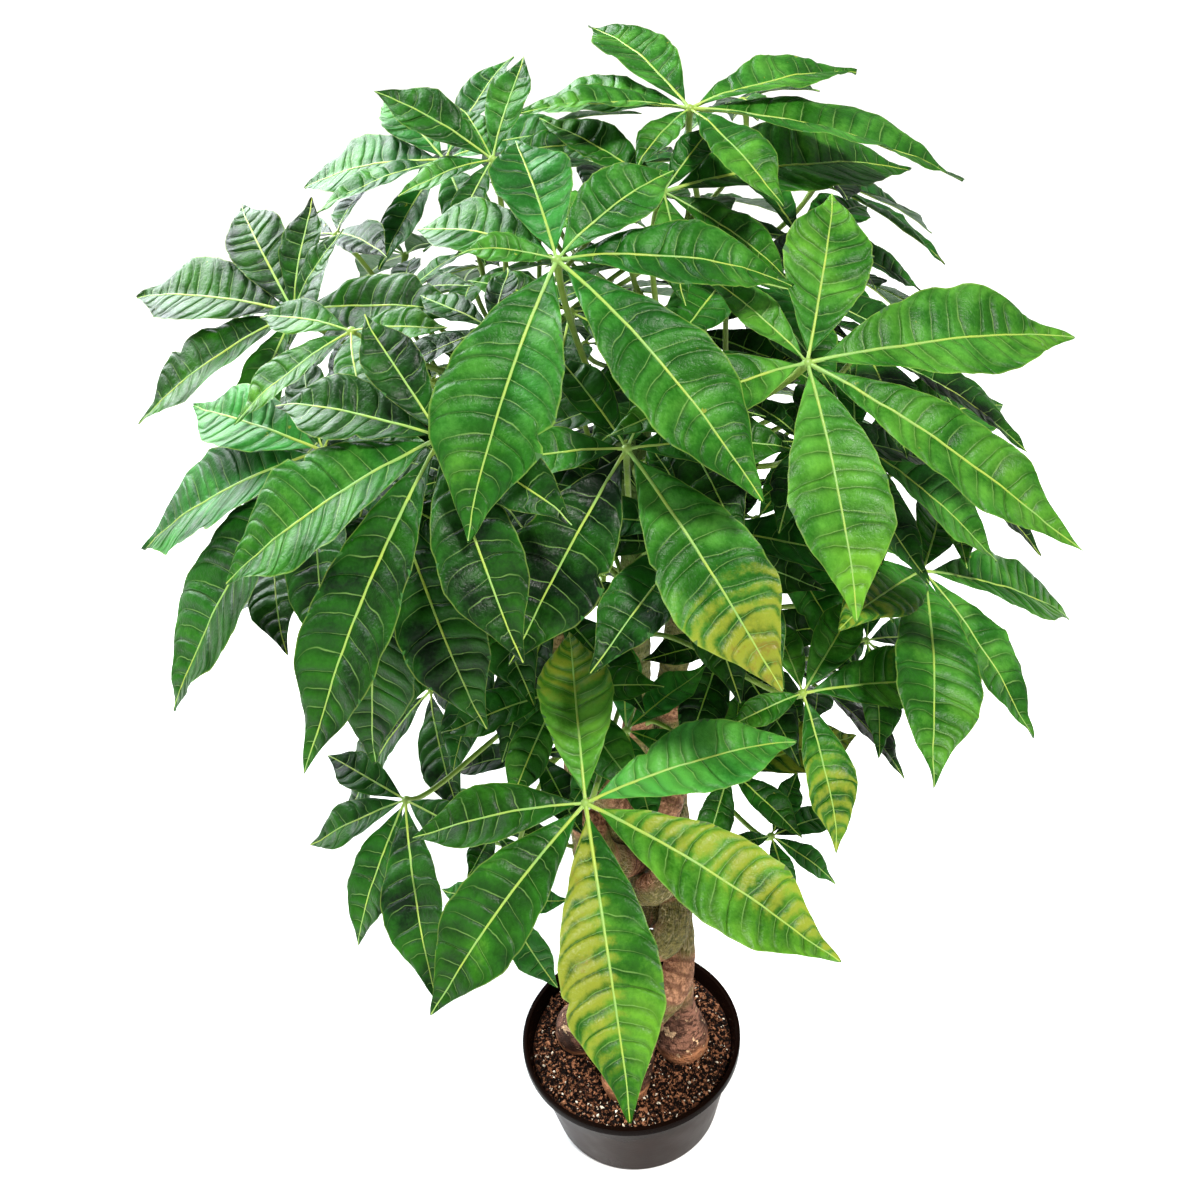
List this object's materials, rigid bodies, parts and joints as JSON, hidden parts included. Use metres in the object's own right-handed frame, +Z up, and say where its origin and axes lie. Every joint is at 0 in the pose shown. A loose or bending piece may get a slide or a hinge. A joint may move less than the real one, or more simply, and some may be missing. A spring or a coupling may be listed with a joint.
{
  "type": "potted money tree",
  "caption": "Potted money tree with braided stems and a broad crown of hand-shaped leaves, growing in soil in a round nursery pot.",
  "frame": {"origin": "middle of the pot's flat base, on the surface it stands on", "axes": "+Z up along the pot's axis; the pictured front faces -Y, with +X to its right"},
  "size_m": [0.7589, 0.7407, 1.1765],
  "materials": {
    "pot_plastic": "satin",
    "potting_mix": "matte",
    "bark": "matte",
    "leaf": "satin"
  },
  "bodies": {
    "root": {"pot": "pot_plastic", "soil": "potting_mix", "stem_1": "bark", "stem_2": "bark", "stem_3": "bark", "stem_4": "bark", "stem_5": "bark", "leaf_01": "leaf", "leaf_02": "leaf", "leaf_03": "leaf", "leaf_04": "leaf", "leaf_05": "leaf", "leaf_06": "leaf", "leaf_07": "leaf", "leaf_08": "leaf", "leaf_09": "leaf", "leaf_10": "leaf", "leaf_11": "leaf", "leaf_12": "leaf", "leaf_13": "leaf", "leaf_14": "leaf", "leaf_15": "leaf", "leaf_16": "leaf", "leaf_17": "leaf", "leaf_18": "leaf", "leaf_19": "leaf", "leaf_20": "leaf", "leaf_21": "leaf", "leaf_22": "leaf", "leaf_23": "leaf", "leaf_24": "leaf", "leaf_25": "leaf", "leaf_26": "leaf", "leaf_27": "leaf", "leaf_28": "leaf", "leaf_29": "leaf", "leaf_30": "leaf", "leaf_31": "leaf", "leaf_32": "leaf", "leaf_33": "leaf", "leaf_34": "leaf", "leaf_35": "leaf", "leaf_36": "leaf", "leaf_37": "leaf", "leaf_38": "leaf", "leaf_39": "leaf", "leaf_40": "leaf", "leaf_41": "leaf", "leaf_42": "leaf", "leaf_43": "leaf", "leaf_44": "leaf", "leaf_45": "leaf", "leaf_46": "leaf", "leaf_47": "leaf", "leaf_48": "leaf", "leaf_49": "leaf"}
  },
  "joints": []
}
